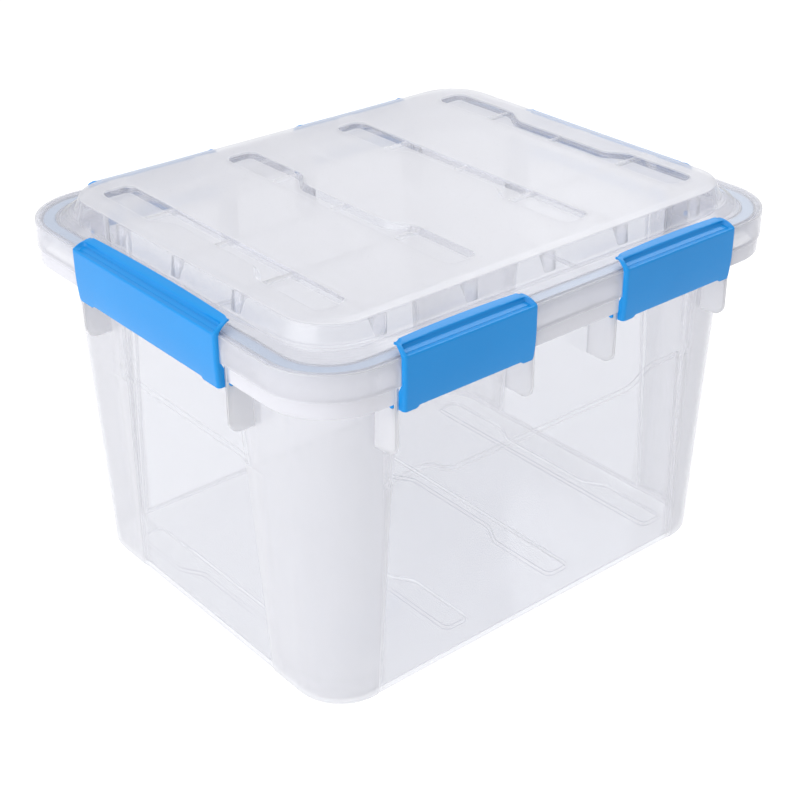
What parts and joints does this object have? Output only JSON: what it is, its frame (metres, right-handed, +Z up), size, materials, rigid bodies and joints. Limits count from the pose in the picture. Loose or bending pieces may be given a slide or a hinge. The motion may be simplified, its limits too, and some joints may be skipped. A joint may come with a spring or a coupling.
{
  "type": "latching storage box",
  "caption": "Clear rectangular storage box with a gasketed grooved lid held down by swing latches along all sides.",
  "frame": {"origin": "centre of the footprint, on the surface that the box stands on", "axes": "+Z up, X along the long sides, -Y towards the front long side"},
  "size_m": [0.483, 0.406, 0.324],
  "materials": {
    "clear_plastic": "clear, slightly milky moulded plastic",
    "frosted_plastic": "frosted translucent moulded plastic",
    "seal_rubber": "matt",
    "latch_plastic": "satin moulded plastic"
  },
  "bodies": {
    "tub": {"tub": "clear_plastic"},
    "lid": {"lid": "frosted_plastic", "gasket": "seal_rubber"},
    "latch_front_left": {"latch_front_left": "latch_plastic"},
    "latch_front_right": {"latch_front_right": "latch_plastic"},
    "latch_back_left": {"latch_back_left": "latch_plastic"},
    "latch_back_right": {"latch_back_right": "latch_plastic"},
    "latch_end_left": {"latch_end_left": "latch_plastic"},
    "latch_end_right": {"latch_end_right": "latch_plastic"}
  },
  "joints": [
    {"name": "lid_lift", "type": "slide", "parent": "tub", "child": "lid", "axis": [0, 0, 1], "range_m": [0, 0.05]},
    {"name": "front_left_swing", "type": "hinge", "parent": "tub", "child": "latch_front_left", "pos_m": [-0.105, -0.1933, 0.2685], "axis": [1, 0, 0], "range_deg": [0, 150]},
    {"name": "front_right_swing", "type": "hinge", "parent": "tub", "child": "latch_front_right", "pos_m": [0.105, -0.1933, 0.2685], "axis": [1, 0, 0], "range_deg": [0, 150]},
    {"name": "back_left_swing", "type": "hinge", "parent": "tub", "child": "latch_back_left", "pos_m": [-0.105, 0.1933, 0.2685], "axis": [-1, 0, 0], "range_deg": [0, 150]},
    {"name": "back_right_swing", "type": "hinge", "parent": "tub", "child": "latch_back_right", "pos_m": [0.105, 0.1933, 0.2685], "axis": [-1, 0, 0], "range_deg": [0, 150]},
    {"name": "end_left_swing", "type": "hinge", "parent": "tub", "child": "latch_end_left", "pos_m": [-0.2318, 0, 0.2685], "axis": [0, -1, 0], "range_deg": [0, 150]},
    {"name": "end_right_swing", "type": "hinge", "parent": "tub", "child": "latch_end_right", "pos_m": [0.2318, 0, 0.2685], "axis": [0, 1, 0], "range_deg": [0, 150]}
  ],
  "couplings": [
    {"joint": "front_left_swing", "follows": "lid_lift", "rad_per_m": 52.3},
    {"joint": "front_right_swing", "follows": "lid_lift", "rad_per_m": 52.3},
    {"joint": "back_left_swing", "follows": "lid_lift", "rad_per_m": 52.3},
    {"joint": "back_right_swing", "follows": "lid_lift", "rad_per_m": 52.3},
    {"joint": "end_left_swing", "follows": "lid_lift", "rad_per_m": 52.3},
    {"joint": "end_right_swing", "follows": "lid_lift", "rad_per_m": 52.3}
  ]
}
